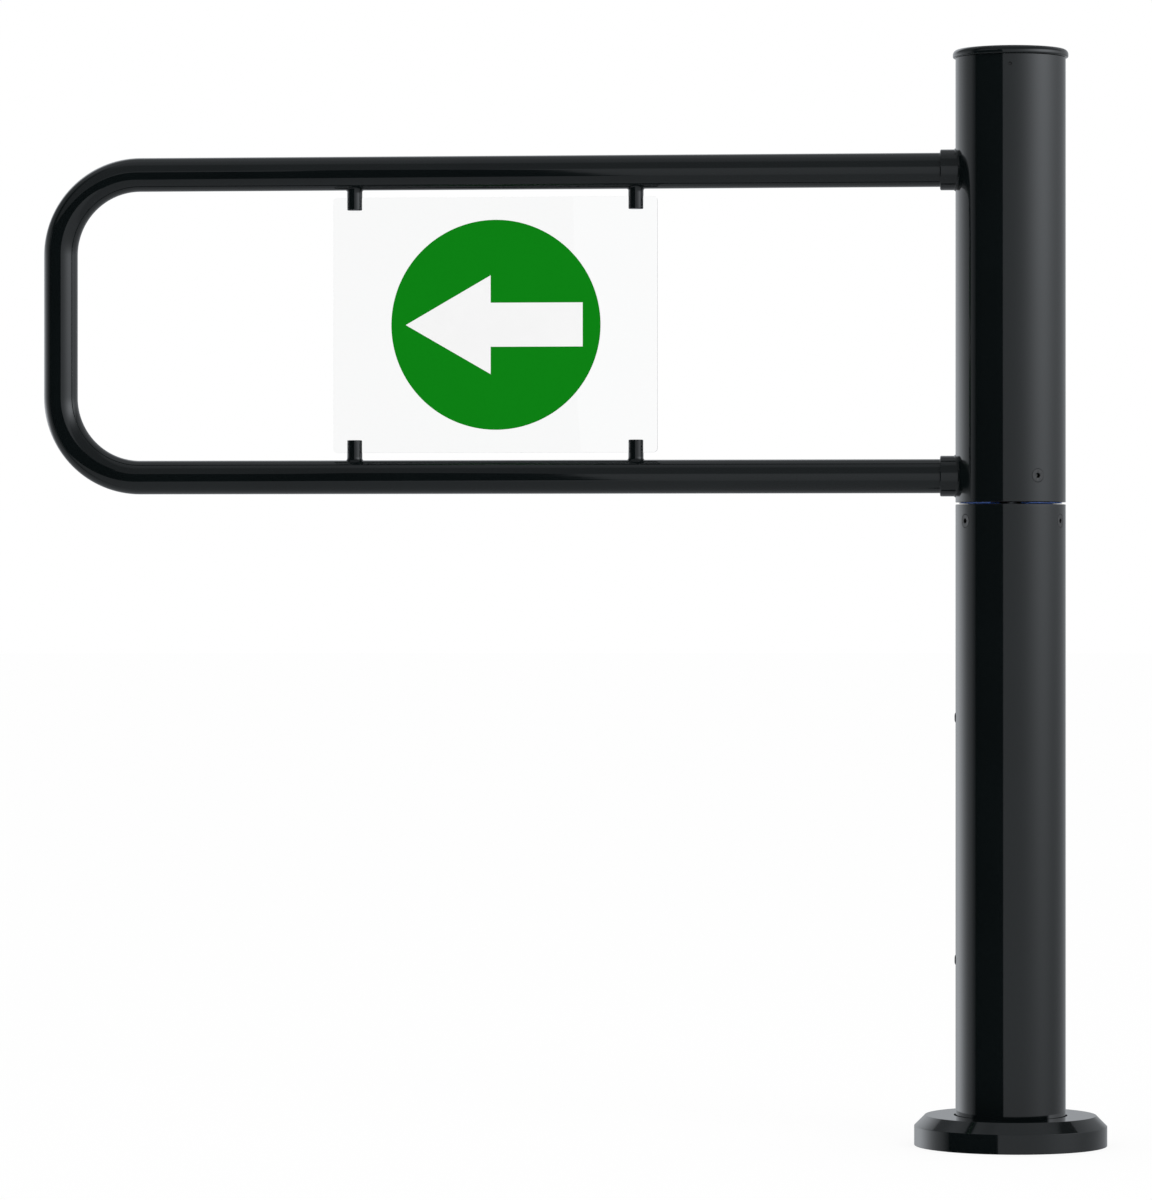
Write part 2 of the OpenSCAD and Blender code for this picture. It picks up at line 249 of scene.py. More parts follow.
class Shader:
    """The shader tree of a material or the world."""

    def __init__(self, owner):
        self.owner = owner
        owner.use_nodes = True
        self.tree = owner.node_tree
        self.tree.nodes.clear()

    def node(self, kind, settings=None, sockets=None, output=0):
        """Adds a node, with its settings first and its sockets after them, and gives one output."""
        made = self.tree.nodes.new(kind)
        for name, value in (settings or {}).items():
            if name == "stops":
                self.set_stops(made.color_ramp, value)
            else:
                setattr(made, name, value)
        for name, value in (sockets or {}).items():
            if isinstance(value, Value):
                self.tree.links.new(value.socket, made.inputs[name])
            else:
                made.inputs[name].default_value = value
        return Value(self, made.outputs[output]) if made.outputs else None

    def set_stops(self, ramp, stops):
        """Sets a colour ramp's stops from pairs of a place and a grey level."""
        while len(ramp.elements) < len(stops):
            ramp.elements.new(1.0)
        for element, (place, level) in zip(ramp.elements, stops):
            element.position = place
            element.color = (level, level, level, 1)

    def place(self):
        """The place on the piece, in its own coordinates."""
        return self.node("ShaderNodeTexCoord", output="Object")

    def stretched(self, vector, scale):
        """A vector multiplied by a different number along each axis."""
        return self.node("ShaderNodeVectorMath", {"operation": "MULTIPLY"}, {0: vector, 1: scale})

    def axis(self, vector, name):
        """One of a vector's three parts."""
        return self.node("ShaderNodeSeparateXYZ", None, {"Vector": vector}, name)

    def dot(self, vector, other):
        """The dot product of a vector and a fixed one."""
        return self.node("ShaderNodeVectorMath", {"operation": "DOT_PRODUCT"}, {0: vector, 1: other}, "Value")

    def noise(self, vector, scale, detail=2.0, roughness=0.5):
        """Soft noise from nought to one."""
        return self.node(
            "ShaderNodeTexNoise", None,
            {"Vector": vector, "Scale": scale, "Detail": detail, "Roughness": roughness}, "Fac")

    def mix(self, factor, first, second):
        """Goes from the first colour to the second as the factor goes from nought to one."""
        return self.node("ShaderNodeMix", {"data_type": "RGBA"}, {0: factor, 6: first, 7: second}, 2)

    def tinted(self, colour_value, factor, level):
        """The colour, multiplied by a level where the factor is one."""
        return self.mix(factor, opaque(colour_value), opaque([level * part for part in colour_value]))

    def bump(self, height, distance, normal=None):
        """A normal that follows a height."""
        sockets = {"Height": height, "Distance": distance, "Strength": 1.0}
        if normal:
            sockets["Normal"] = normal
        return self.node("ShaderNodeBump", None, sockets)

    def diffuse(self, colour_value):
        """A matt shader."""
        return self.node("ShaderNodeBsdfDiffuse", None, {"Color": colour_value})

    def surface(self, result):
        """Makes a shader the material's surface and gives the material."""
        self.node("ShaderNodeOutputMaterial", None, {"Surface": result})
        return self.owner

    def principled(self, sockets):
        """Makes a Principled shader the material's surface and gives the material."""
        return self.surface(self.node("ShaderNodeBsdfPrincipled", None, sockets))


def opaque(colour_value):
    """A colour with its fourth part."""
    return (*colour_value[:3], 1.0)


def new_shader(name):
    """The shader tree of a new material."""
    return Shader(bpy.data.materials.new(name))


# Materials

def black_coating(finish):
    """Gloss black coating with a faint orange peel and a little uneven gloss."""
    shader = new_shader("black_coating_paint")
    place = shader.place()
    cloud = shader.noise(place, 9.0, 3.0)
    mottle = shader.noise(place, 160.0, 2.0)
    peel = shader.noise(place, 1 / finish.coating_grain, 1.0)
    dust = shader.noise(place, 2600.0, 1.0).ramp(0.70, 0.78)
    base = shader.tinted(finish.coating, cloud.ramp(0.35, 0.65), 0.88)
    base = shader.mix(dust * 0.16, base, (0.05, 0.052, 0.055, 1))
    roughness = finish.coating_roughness + (mottle - 0.5) * 0.03 + cloud * 0.02 + dust * 0.12
    relief = shader.bump(peel, finish.coating_ripple)
    return shader.principled({
        "Base Color": base, "Roughness": roughness, "IOR": 1.5, "Normal": relief})


def black_screws(finish):
    """Blackened steel of the screws, worn a little brighter in patches."""
    shader = new_shader("blackened_screw_steel")
    place = shader.place()
    wear = shader.noise(place, 420.0, 3.0).ramp(0.58, 0.78)
    grain = shader.noise(place, 2200.0, 2.0)
    base = shader.mix(wear * 0.5, opaque(finish.screw), (0.04, 0.04, 0.042, 1))
    return shader.principled({
        "Base Color": base, "Metallic": wear * 0.3, "Roughness": 0.10 + grain * 0.06, "IOR": 1.5,
        "Normal": shader.bump(grain, 0.000004)})


def turned_metal(name, tone, roughness):
    """Machined metal with fine turning marks round the vertical axis."""
    shader = new_shader(name)
    place = shader.place()
    marks = shader.noise(shader.stretched(place, (40.0, 40.0, 5200.0)), 1.0, 3.0, 0.6)
    stain = shader.noise(place, 55.0, 4.0)
    base = shader.tinted(tone, stain.ramp(0.42, 0.70), 0.72)
    return shader.principled({
        "Base Color": base, "Metallic": 1.0, "Roughness": roughness + marks * 0.14 + stain * 0.08,
        "Normal": shader.bump(marks, 0.000008)})


def bare_steel(finish):
    """Turned steel of the flange, the housing, the hub, the shaft and its nut."""
    return turned_metal("turned_steel", finish.steel, 0.24)


def bronze(finish):
    """Sintered bronze of the bush."""
    return turned_metal("bush_bronze", finish.bronze, 0.30)


def blue_polymer(finish):
    """Blue low-friction plastic of the thrust washer."""
    shader = new_shader("washer_plastic")
    place = shader.place()
    swirl = shader.noise(place, 70.0, 3.0)
    grain = shader.noise(place, 1800.0, 2.0)
    base = shader.tinted(finish.washer, swirl.ramp(0.35, 0.70), 0.80)
    return shader.principled({
        "Base Color": base, "Roughness": 0.36 + grain * 0.12, "IOR": 1.46,
        "Normal": shader.bump(grain, 0.000006)})


def film(name, tone, roughness):
    """Self-adhesive film: a fine leathery grain and a faint waviness where it is stuck down."""
    shader = new_shader(name)
    place = shader.place()
    wave = shader.noise(place, 26.0, 2.0)
    grain = shader.noise(place, 1500.0, 2.0)
    base = shader.tinted(tone, wave.ramp(0.35, 0.70) * 0.5 + grain * 0.5, 0.975)
    relief = shader.bump(grain, 0.000004, shader.bump(wave, 0.00003))
    return shader.principled({
        "Base Color": base, "Roughness": roughness + grain * 0.08, "IOR": 1.4, "Specular IOR Level": 0.05,
        "Normal": relief})


def green_film(finish):
    """Green film of the round sign."""
    return film("sign_green_film", finish.green, 0.42)


def white_film(finish):
    """White film of the arrow."""
    return film("sign_white_film", finish.white, 0.46)


def clear_acrylic(finish):
    """Clear acrylic sheet with a trace of wiping marks. It lets the light through to the floor."""
    shader = new_shader("clear_acrylic_sheet")
    wiping = shader.noise(shader.stretched(shader.place(), (3.0, 3.0, 14.0)), 1.0, 2.0)
    base = shader.tinted(finish.acrylic, wiping.ramp(0.30, 0.75), 0.997)
    sheet = shader.node("ShaderNodeBsdfPrincipled", None, {
        "Base Color": base, "Roughness": 0.0, "IOR": finish.acrylic_bend, "Transmission Weight": 1.0})
    clear = shader.node("ShaderNodeBsdfTransparent", None, {"Color": (0.93, 0.93, 0.93, 1)})
    shadow = shader.node("ShaderNodeLightPath", output="Is Shadow Ray")
    return shader.surface(shader.node("ShaderNodeMixShader", None, {0: shadow, 1: sheet, 2: clear}))


MAKERS = (
    black_coating, black_screws, bare_steel, bronze, blue_polymer, green_film, white_film, clear_acrylic)


@functools.cache
def material_for(slot):
    """The material of one of the record's slots. Each slot's maker has the slot's name."""
    makers = {maker.__name__: maker for maker in MAKERS}
    return makers[slot](bpy.context.scene.swing_gate.finish)


# Mesh tools

def open_edges(bm):
    """The edges that only one face has."""
    return [edge for edge in bm.edges if edge.is_boundary]


def edges_across(bm, axis, along=False):
    """The edges that lie across an axis or, if asked, the ones that run along it."""
    rises = {edge: abs(edge.verts[0].co[axis] - edge.verts[1].co[axis]) for edge in bm.edges}
    return [edge for edge, rise in rises.items() if (rise > MERGE_DISTANCE) == along]


def seal(bm):
    """Merges doubles and turns the faces outwards."""
    bmesh.ops.remove_doubles(bm, verts=bm.verts[:], dist=MERGE_DISTANCE)
    bmesh.ops.recalc_face_normals(bm, faces=bm.faces[:])
    return bm


def rounded(bm, geom, offset, segments, affect="EDGES"):
    """Rounds edges or corners."""
    bmesh.ops.bevel(
        bm, geom=geom, offset=offset, offset_type="OFFSET", segments=segments, profile=0.5, affect=affect,
        material=-1)


def swept(bm, geom, angle, steps, centre=(0, 0, 0), axis=(0, 0, 1), step=(0, 0, 0), closed=False):
    """Sweeps geometry about an axis, and on by a step each time, and gives the far end."""
    return bmesh.ops.spin(
        bm, geom=geom, cent=centre, axis=axis, dvec=step, angle=angle, steps=steps, use_merge=closed,
        use_normal_flip=False, use_duplicate=False)["geom_last"]


def turned(corners, steps, closed=True, round_steps=4, start=0.0, sweep=FULL_TURN):
    """Turns an outline about the Z axis. Its corners are a radius, a height and, if round, the rounding."""
    bm = bmesh.new()
    verts = [bm.verts.new((radius, 0, height)) for radius, height, *_ in corners]
    for first, second in zip(verts, verts[1:] + verts[:1] if closed else verts[1:]):
        bm.edges.new((first, second))
    for vert, (_, _, *rounding) in zip(verts, corners):
        if any(rounding):
            rounded(bm, [vert], rounding[0], round_steps, "VERTICES")
    bmesh.ops.rotate(bm, verts=bm.verts[:], cent=(0, 0, 0), matrix=Matrix.Rotation(start, 3, "Z"))
    full = sweep == FULL_TURN
    swept(bm, bm.verts[:] + bm.edges[:], sweep, steps, closed=full)
    if not full:
        bmesh.ops.holes_fill(bm, edges=open_edges(bm), sides=0)
    return seal(bm)


def ring(outer, inner, low, high, rounding, steps):
    """A tube about the Z axis with rounded edges."""
    corners = ((inner, low), (outer, low), (outer, high), (inner, high))
    return turned([(*corner, rounding) for corner in corners], steps)


def block(size):
    """A block about the origin."""
    bm = bmesh.new()
    bmesh.ops.create_cube(bm, size=1)
    bmesh.ops.scale(bm, vec=size, verts=bm.verts[:])
    return bm


def moved(bm, matrix):
    """Moves a whole mesh."""
    bmesh.ops.transform(bm, matrix=matrix, verts=bm.verts[:])
    return bm


def sliced(bm, heights):
    """Adds a level loop at each height, so that a cut nearby stays local."""
    for height in heights:
        bmesh.ops.bisect_plane(
            bm, geom=bm.verts[:] + bm.edges[:] + bm.faces[:], plane_co=(0, 0, height), plane_no=(0, 0, 1))
    return bm


def linked(name, data):
    """A new object of the scene."""
    made = bpy.data.objects.new(name, data)
    bpy.context.scene.collection.objects.link(made)
    return made


def object_from(bm, name, *materials):
    """Turns a working mesh into an object of the scene."""
    mesh = bpy.data.meshes.new(name)
    bm.to_mesh(mesh)
    bm.free()
    for material in materials:
        mesh.materials.append(material)
    return linked(name, mesh)


def cut_away(body, tool):
    """Takes the tool's shape out of the body and gives what is left."""
    solids = [object_from(bm, "solid") for bm in (body, tool)]
    cut = solids[0].modifiers.new("cut", "BOOLEAN")
    cut.operation = "DIFFERENCE"
    cut.solver = "EXACT"
    cut.object = solids[1]
    left = bmesh.new()
    left.from_object(solids[0], bpy.context.evaluated_depsgraph_get())
    for solid in solids:
        mesh = solid.data
        bpy.data.objects.remove(solid)
        bpy.data.meshes.remove(mesh)
    return left


def across(turn, height):
    """Places a part that was made along +Z so that it points out of the post at a turn and a height."""
    return (
        Matrix.Translation((0, 0, height))
        @ Matrix.Rotation(turn - QUARTER_TURN, 4, "Z")
        @ Matrix.Rotation(QUARTER_TURN, 4, "Y"))


def along_leaf(height):
    """Places a part that was made along +Z so that it points along the leaf at a height."""
    return Matrix.Translation((0, 0, height)) @ Matrix.Rotation(-QUARTER_TURN, 4, "Y")


def finish_piece(bm, name, body, slot, *nodes):
    """Makes a mesh a finished piece that rides on a body and stands for the frame's nodes."""
    piece = object_from(bm, name, material_for(slot))
    if not piece.data.polygons:
        raise RuntimeError(f"{name} has no faces")
    piece.data.shade_smooth()
    piece.data.set_sharp_from_angle(angle=CREASE_ANGLE)
    weighted = piece.modifiers.new("flat faces stay flat", "WEIGHTED_NORMAL")
    weighted.keep_sharp = True
    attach(piece, body)
    if nodes:
        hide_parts(*nodes)


def paint_node(name, slot):
    """Gives one of the frame's own nodes its material."""
    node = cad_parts[name]
    node.data.materials.clear()
    node.data.materials.append(material_for(slot))


def picked(items, kind):
    """The items of one kind, out of those that a mesh tool gave."""
    return [item for item in items if isinstance(item, kind)]


def settings_of(context):
    """The shape settings."""
    return context.scene.swing_gate.shape


def middle(node):
    """The middle of a node's box."""
    low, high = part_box(node)
    return (low + high) / 2


# Screws

def screw_from(corners, socket_width, socket_depth, steps):
    """A screw along +Z. Its outline runs from the rim of its hexagon socket round to the axis below."""
    bm = turned(corners, steps, closed=False, round_steps=3)
    opening = open_edges(bm)
    mouth = opening[0].verts[0].co.z - socket_width * HEXAGON_DROP
    bmesh.ops.create_circle(
        bm, cap_ends=False, segments=HEXAGON_SIDES, radius=socket_width / math.sqrt(3),
        matrix=Matrix.Translation((0, 0, mouth)))
    hexagon = [edge for edge in bm.edges if edge.is_wire]
    bmesh.ops.subdivide_edges(bm, edges=hexagon, cuts=steps // HEXAGON_SIDES - 1)
    hexagon = [edge for edge in bm.edges if edge.is_wire]
    bmesh.ops.bridge_loops(bm, edges=opening + hexagon)
    walls = bmesh.ops.extrude_edge_only(bm, edges=open_edges(bm))["geom"]
    bmesh.ops.translate(bm, verts=picked(walls, bmesh.types.BMVert), vec=(0, 0, -socket_depth))
    bmesh.ops.holes_fill(bm, edges=open_edges(bm), sides=0)
    return seal(bm)


def countersunk_screw(shape):
    """A countersunk hexagon socket screw, with its head just below the tube's surface."""
    head = shape.screw_head / 2
    shank = shape.screw_shank / 2
    top = POST_RADIUS - shape.screw_sink
    seat = top - SCREW_LAND
    foot = top - shape.screw_length
    fine = SCREW_BEVEL
    socket_depth = shape.screw_head / 5
    return screw_from([
        (shape.screw_socket * FACE_START, top), (head - fine, top, fine), (head, seat, fine),
        (shank, seat - (head - shank), fine), (shank, foot + 2 * fine), (shank - 2 * fine, foot), (0, foot),
    ], shape.screw_socket, socket_depth, shape.small_steps)


def countersunk_hole(shape):
    """The tool that cuts a countersunk screw's hole through the tube."""
    gap = SEAT_GAP
    head = shape.screw_head / 2 + gap
    shank = shape.screw_shank / 2 + gap
    outside = POST_RADIUS + shape.screw_head
    inside = POST_RADIUS - shape.screw_length
    seat = POST_RADIUS - shape.screw_sink - SCREW_LAND - gap
    flare = HOLE_FLARE
    return turned([
        (0, outside), (head + flare + outside - POST_RADIUS, outside), (head + flare, POST_RADIUS),
        (head, POST_RADIUS - flare), (head, seat), (shank, seat - (head - shank)), (shank, inside),
        (0, inside),
    ], shape.small_steps, closed=False)


def straight_hole(radius, near, far, steps):
    """A plain round cutting tool along +Z."""
    return turned([(0, far), (radius, far), (radius, near), (0, near)], steps, closed=False)


def screw_places(shape, group):
    """The place of each screw of a ring, with +Z pointing out of the post."""
    first = getattr(shape, f"{group}_turn")
    height = middle(f"{group}_1").z
    return [across(first + i * FULL_TURN / SCREWS_IN_A_RING, height) for i in range(SCREWS_IN_A_RING)]


def ring_of_holes(shape, body, group):
    """Cuts the holes of a ring of countersunk screws into a body."""
    for place in screw_places(shape, group):
        body = cut_away(body, moved(countersunk_hole(shape), place))
    return body


def plain_hole(shape, body, diameter, place):
    """Cuts the plain hole of a screw into a post tube."""
    reach = shape.screw_head
    tool = straight_hole(diameter / 2 + SEAT_GAP, POST_RADIUS - reach, POST_RADIUS + reach, shape.small_steps)
    return cut_away(body, moved(tool, place))


def domed_screw(shape):
    """A side screw with a low domed head."""
    head = shape.side_screw_head / 2
    shank = shape.side_screw_shank / 2
    top = POST_RADIUS + shape.side_screw_rise
    skirt = math.sqrt(POST_RADIUS ** 2 - head ** 2)
    depth = 0.008
    foot = POST_RADIUS - depth
    crown = head * 0.62
    crown_drop = 0.00008
    crown_round = 0.0004
    edge_drop = 0.0007
    edge_round = 0.0003
    socket_depth = 0.0011
    return screw_from([
        (shank * FACE_START, top), (crown, top - crown_drop, crown_round),
        (head, top - edge_drop, edge_round), (head, skirt), (shank, skirt), (shank, foot), (0, foot),
    ], shank, socket_depth, shape.small_steps)


def grub_screw(shape):
    """The cap's small grub screw, sunk a little into the tube."""
    radius = shape.grub_screw / 2
    top = POST_RADIUS - shape.grub_sink
    foot = top - 2 * shape.grub_screw
    face_start = radius * 0.78
    socket_width = radius * 1.25
    return screw_from([
        (face_start, top), (radius - SCREW_BEVEL, top), (radius, top - SCREW_BEVEL), (radius, foot),
        (0, foot),
    ], socket_width, radius, shape.small_steps)


class SWING_GATE_OT_screws(Operator):
    """Makes the screws of the housing, the hub, the cap and the post's side"""

    bl_idname = "swing_gate.screws"
    bl_label = "Screws"

    def execute(self, context):
        shape = settings_of(context)
        for group, body in (("housing_screw", "post"), ("hub_screw", "gate")):
            for number, place in enumerate(screw_places(shape, group), start=1):
                bm = moved(countersunk_screw(shape), place)
                finish_piece(bm, f"{group}_with_socket_{number}", body, "black_screws", f"{group}_{number}")
        for node in ("side_screw_low", "side_screw_high"):
            bm = moved(domed_screw(shape), across(-QUARTER_TURN, middle(node).z))
            finish_piece(bm, f"{node}_domed", "post", "black_screws", node)
        bm = moved(grub_screw(shape), across(0, middle("cap_screw").z))
        finish_piece(bm, "cap_grub_screw", "gate", "black_screws", "cap_screw")
        return {"FINISHED"}


# Post

def post_tube(shape, node):
    """One post tube with rounded cut edges, before its holes are cut."""
    low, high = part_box(node)
    return ring(high.x, high.x - shape.post_wall, low.z, high.z, EDGE_ROUND, shape.round_steps)


class SWING_GATE_OT_post_tubes(Operator):
    """Makes the fixed tube and the turning tube with their screw holes"""

    bl_idname = "swing_gate.post_tubes"
    bl_label = "Post tubes"

    def execute(self, context):
        shape = settings_of(context)
        reach = shape.screw_head
        screw_height = middle("housing_screw_1").z
        side_heights = [middle(node).z for node in ("side_screw_low", "side_screw_high")]
        levels = [height + side * reach for height in (screw_height, *side_heights) for side in (-1, 1)]
        tube = sliced(post_tube(shape, "lower_post"), levels)
        tube = ring_of_holes(shape, tube, "housing_screw")
        for height in side_heights:
            tube = plain_hole(shape, tube, shape.side_screw_shank, across(-QUARTER_TURN, height))
        finish_piece(tube, "fixed_post_tube", "post", "black_coating", "lower_post")

        screw_height = middle("hub_screw_1").z
        grub_height = middle("cap_screw").z
        levels = [screw_height - reach, screw_height + reach, grub_height - reach / 2]
        tube = sliced(post_tube(shape, "gate_post"), levels)
        tube = ring_of_holes(shape, tube, "hub_screw")
        tube = plain_hole(shape, tube, shape.grub_screw, across(0, grub_height))
        finish_piece(tube, "turning_post_tube", "gate", "black_coating", "gate_post")
        return {"FINISHED"}


class SWING_GATE_OT_cap(Operator):
    """Makes the cap with its rounded rim and its skirt"""

    bl_idname = "swing_gate.cap"
    bl_label = "Cap"

    def execute(self, context):
        shape = settings_of(context)
        low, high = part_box("top_cap")
        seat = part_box("gate_post")[1].z
        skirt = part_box("gate_post")[1].x - shape.post_wall - SEAT_GAP
        fine = EDGE_ROUND
        bm = turned([
            (0, high.z), (high.x, high.z, shape.cap_round), (high.x, seat, CAP_LOWER_ROUND),
            (skirt, seat), (skirt, low.z, fine), (skirt - shape.cap_skirt_wall, low.z, fine),
            (skirt - shape.cap_skirt_wall, seat, fine), (0, seat),
        ], shape.round_steps, closed=False, round_steps=8)
        hole = shape.grub_screw / 2 + SEAT_GAP
        tool = straight_hole(hole, skirt - 2 * shape.cap_skirt_wall, high.x, shape.small_steps)
        bm = cut_away(bm, moved(tool, across(0, middle("cap_screw").z)))
        finish_piece(bm, "rounded_cap", "gate", "black_coating", "top_cap")
        return {"FINISHED"}


class SWING_GATE_OT_base(Operator):
    """Makes the floor flange with its anchor holes and the chamfered cover over it"""

    bl_idname = "swing_gate.base"
    bl_label = "Base"

    def execute(self, context):
        shape = settings_of(context)
        low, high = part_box("floor_flange")
        fine = 2 * EDGE_ROUND
        flange = turned(
            [(0, high.z), (high.x, high.z, fine), (high.x, low.z, fine), (0, low.z)],
            shape.round_steps, closed=False)
        hole = shape.anchor_hole / 2
        for number in range(shape.anchor_count):
            turn = (number + 0.5) * FULL_TURN / shape.anchor_count
            tool = turned([
                (0, high.z + fine), (hole + 2 * fine, high.z + fine), (hole, high.z - fine),
                (hole, low.z + fine), (hole + 2 * fine, low.z - fine), (0, low.z - fine),
            ], shape.small_steps, closed=False)
            centre = Matrix.Rotation(turn, 4, "Z") @ Matrix.Translation((shape.anchor_circle / 2, 0, 0))
            flange = cut_away(flange, moved(tool, centre))
        finish_piece(flange, "drilled_floor_flange", "post", "bare_steel", "floor_flange")

        low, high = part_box("flange_cover")
        bore = POST_RADIUS + shape.cover_gap
        wall = shape.cover_wall
        chamfer = shape.cover_chamfer
        inner_chamfer = chamfer - wall * math.tan(QUARTER_TURN / 4)
        inner = high.x - wall
        lid = high.z - wall
        fold = FOLD_ROUND
        lip = EDGE_ROUND
        cover = turned([
            (high.x, low.z, lip), (high.x, high.z - chamfer, fold),
            (high.x - chamfer, high.z, fold), (bore, high.z, lip), (bore, lid, lip),
            (inner - inner_chamfer, lid), (inner, lid - inner_chamfer), (inner, low.z, lip),
        ], shape.round_steps)
        finish_piece(cover, "folded_flange_cover", "post", "black_coating", "flange_cover")
        return {"FINISHED"}


# Pivot inside the posts

class SWING_GATE_OT_pivot(Operator):
    """Makes the housing, washer, shaft, nut, hub and bush of the pivot"""

    bl_idname = "swing_gate.pivot"
    bl_label = "Pivot"

    def execute(self, context):
        shape = settings_of(context)
        steps = shape.round_steps // 2
        shaft = shape.shaft_diameter / 2
        gap = SEAT_GAP
        fine = EDGE_ROUND

        low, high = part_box("bearing_housing")
        housing = ring(high.x, shaft + gap, low.z, high.z, 2 * fine, steps)
        housing = ring_of_holes(shape, housing, "housing_screw")
        finish_piece(housing, "chamfered_housing", "post", "bare_steel", "bearing_housing")

        low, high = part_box("thrust_washer")
        bore = shape.washer_bore / 2
        rim = shape.washer_rim_diameter / 2
        over_rim = high.z - WASHER_RIM_DROP
        under_rim = over_rim - WASHER_RIM
        washer = turned([
            (bore, low.z, fine), (high.x, low.z, fine), (high.x, under_rim),
            (rim, under_rim, WASHER_RIM / 4), (rim, over_rim, WASHER_RIM / 4), (high.x, over_rim),
            (high.x, high.z), (bore, high.z, fine),
        ], steps, start=shape.washer_split / 2 - QUARTER_TURN, sweep=FULL_TURN - shape.washer_split)
        finish_piece(washer, "split_washer", "post", "blue_polymer", "thrust_washer")

        low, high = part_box("pivot_shaft")
        shoulder = high.x - shaft
        bar = turned([
            (0, high.z), (shaft, high.z, 3 * fine), (shaft, low.z + shoulder, fine),
            (high.x, low.z + shoulder, fine), (high.x, low.z, 2 * fine), (0, low.z),
        ], steps, closed=False)
        finish_piece(bar, "shouldered_shaft", "post", "bare_steel", "pivot_shaft")

        low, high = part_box("shaft_nut")
        nut = bmesh.new()
        bmesh.ops.create_circle(
            nut, cap_ends=True, segments=HEXAGON_SIDES, radius=high.x,
            matrix=Matrix.Translation((0, 0, low.z)))
        top = bmesh.ops.extrude_face_region(nut, geom=nut.faces[:])["geom"]
        bmesh.ops.translate(nut, verts=picked(top, bmesh.types.BMVert), vec=(0, 0, high.z - low.z))
        nut_bevel = high.y * 0.05
        rounded(nut, edges_across(nut, 2), nut_bevel, 2)
        seal(nut)
        tool = straight_hole(shaft + gap, low.z - shaft, high.z + shaft, shape.small_steps)
        finish_piece(cut_away(nut, tool), "chamfered_nut", "post", "bare_steel", "shaft_nut")

        low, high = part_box("rotor_hub")
        bush = shaft + gap + shape.bush_wall
        foot = shape.hub_foot_diameter / 2
        ledge = low.z + shape.hub_foot_height
        hub = turned([
            (bush + gap, low.z, fine), (foot, low.z, fine), (foot, ledge, fine), (high.x, ledge, 2 * fine),
            (high.x, high.z, 2 * fine), (bush + gap, high.z, fine),
        ], steps)
        hub = ring_of_holes(shape, hub, "hub_screw")
        finish_piece(hub, "stepped_hub", "gate", "bare_steel", "rotor_hub")

        low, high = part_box("hub_bush")
        bearing = ring(high.x, shaft + gap, low.z, high.z, fine, steps)
        finish_piece(bearing, "chamfered_bush", "gate", "bronze", "hub_bush")
        return {"FINISHED"}


# Leaf

def leaf_skin(shape, radius, start, low_rail, high_rail, reach):
    """The leaf's tube as one open skin: rail, bend, end tube, bend and rail."""
    bend = shape.bend_radius
    ease = bend / 12
    bm = bmesh.new()
    bmesh.ops.create_circle(
        bm, cap_ends=False, segments=shape.rail_steps, radius=radius,
        matrix=Matrix.Translation((start, 0, high_rail)) @ Matrix.Rotation(QUARTER_TURN, 4, "Y"))

    def straight(end, vector):
        """A straight stretch with a short step at each end, so that its long faces stay true."""
        short = vector.normalized() * ease
        for step in (short, vector - 2 * short, short):
            end = swept(bm, end, 0, 1, step=step)
        return end

    def bent(end, height):
        """A quarter bend at one end of the end tube."""
        return swept(bm, end, QUARTER_TURN, shape.bend_steps, (bend - reach, 0, height), (0, -1, 0))

    run = start - (bend - reach)
    end = straight(bm.verts[:] + bm.edges[:], Vector((-run, 0, 0)))
    end = bent(end, high_rail - bend)
    end = straight(end, Vector((0, 0, low_rail - high_rail + 2 * bend)))
    end = bent(end, low_rail + bend)
    straight(end, Vector((run, 0, 0)))
    return seal(bm)


class SWING_GATE_OT_leaf(Operator):
    """Makes the bent tube of the leaf with its wall"""

    bl_idname = "swing_gate.leaf"
    bl_label = "Leaf tube"

    def execute(self, context):
        shape = settings_of(context)
        low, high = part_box("leaf_tube")
        radius = high.y
        bm = leaf_skin(shape, radius, high.x, low.z + radius, high.z - radius, -low.x - radius)
        bmesh.ops.solidify(bm, geom=bm.faces[:], thickness=shape.leaf_wall)
        bmesh.ops.remove_doubles(bm, verts=bm.verts[:], dist=MERGE_DISTANCE)
        finish_piece(bm, "bent_leaf_tube", "gate", "black_coating", "leaf_tube")
        return {"FINISHED"}


